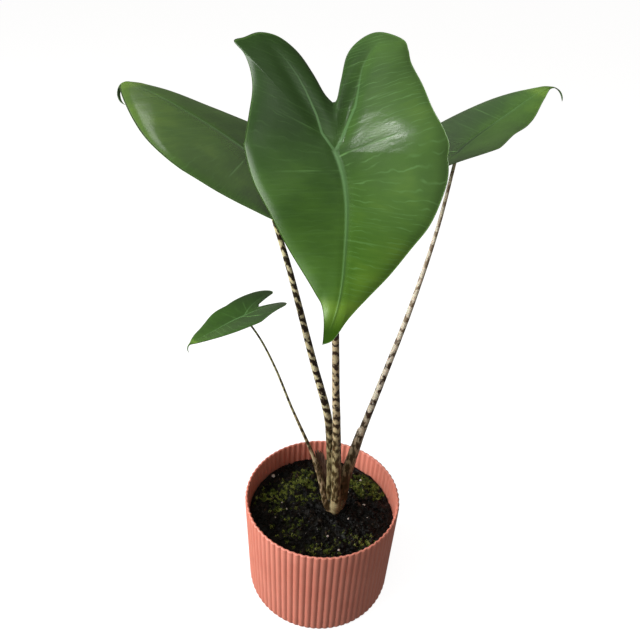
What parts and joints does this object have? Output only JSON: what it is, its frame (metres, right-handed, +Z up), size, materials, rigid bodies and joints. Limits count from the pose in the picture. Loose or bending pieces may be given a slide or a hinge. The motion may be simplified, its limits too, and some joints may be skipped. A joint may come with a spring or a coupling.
{
  "type": "potted alocasia zebrina plant",
  "caption": "Young zebra-stemmed alocasia: arrow-shaped green blades on banded leaf stalks, growing from dark potting mix in a small ribbed salmon plastic pot.",
  "frame": {"origin": "centre of the pot's flat underside", "axes": "+Z up along the pot's axis; -Y is the front, which the largest leaf faces"},
  "size_m": [0.3423, 0.2161, 0.4918],
  "materials": {
    "pot_plastic": "satin",
    "potting_mix": "matte",
    "corm": "matte",
    "dry_sheath": "matte",
    "leaf_stalk": "satin",
    "leaf_blade": "satin"
  },
  "bodies": {
    "root": {"pot": "pot_plastic", "soil": "potting_mix", "corm_and_roots": "corm", "dry_sheath": "dry_sheath", "petiole_front": "leaf_stalk", "petiole_left": "leaf_stalk", "petiole_right": "leaf_stalk", "petiole_small": "leaf_stalk", "blade_front": "leaf_blade", "blade_left": "leaf_blade", "blade_right": "leaf_blade", "blade_small": "leaf_blade"}
  },
  "joints": []
}
